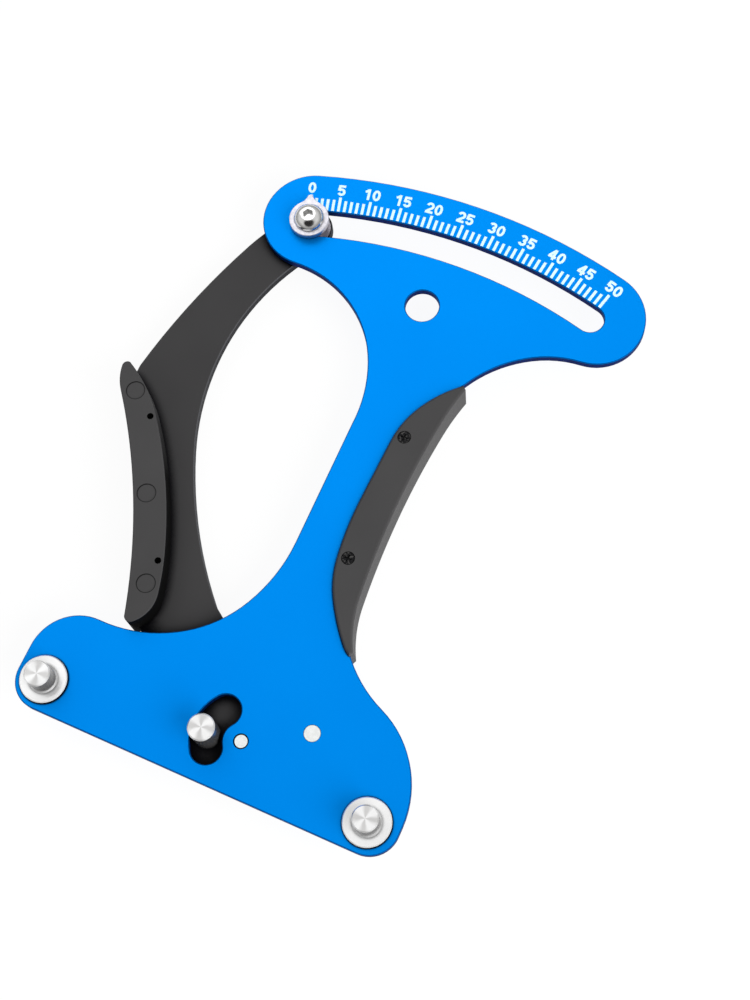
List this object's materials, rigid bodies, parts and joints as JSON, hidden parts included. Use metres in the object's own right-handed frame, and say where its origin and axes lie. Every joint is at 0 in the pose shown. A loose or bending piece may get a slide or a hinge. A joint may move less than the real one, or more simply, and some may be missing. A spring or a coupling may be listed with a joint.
{
  "type": "spoke tension meter",
  "caption": "Flat waisted plate with an arched scale, three round posts and a spring-loaded squeeze lever whose pointer sweeps the scale to read wire spoke tension.",
  "frame": {"origin": "axis of the hanging hole, in the plate's front face", "axes": "+X along the line of the two fixed posts from left to right, +Y towards the scale, +Z out of the front face"},
  "size_m": [0.1408, 0.1959, 0.0209],
  "materials": {
    "blue_anodised": "satin",
    "black_anodised": "satin",
    "grip_plastic": "matte",
    "turned_steel": "satin",
    "bright_steel": "gloss",
    "black_steel": "satin",
    "spring_wire": "satin"
  },
  "bodies": {
    "frame": {"base_plate": "blue_anodised", "plate_grip": "grip_plastic", "plate_grip_screws": "black_steel", "fixed_post_left": "turned_steel", "fixed_post_right": "turned_steel", "fixed_post_washers": "turned_steel", "fixed_post_screws": "bright_steel", "pivot_bolt": "turned_steel", "pivot_washer": "turned_steel", "pivot_rear_washer": "turned_steel", "spring_anchor_pin": "turned_steel", "return_spring": "spring_wire"},
    "lever": {"lever_arm": "black_anodised", "lever_grip": "grip_plastic", "lever_grip_screws": "black_steel", "movable_post": "turned_steel", "movable_post_washer": "turned_steel", "movable_post_screw": "bright_steel", "lever_spring_pin": "turned_steel", "slot_spacer_washer": "turned_steel", "slot_bush": "turned_steel", "pointer_washer": "bright_steel", "pointer_screw": "bright_steel", "pointer_nut": "bright_steel"}
  },
  "joints": [
    {"name": "lever_pivot", "type": "hinge", "parent": "frame", "child": "lever", "pos_m": [0.0065, -0.143, 0], "axis": [0, 0, -1], "range_deg": [0, 32.7], "stiffness_Nm_per_rad": 1, "springref_deg": -22.92, "deforming": ["return_spring"]}
  ]
}
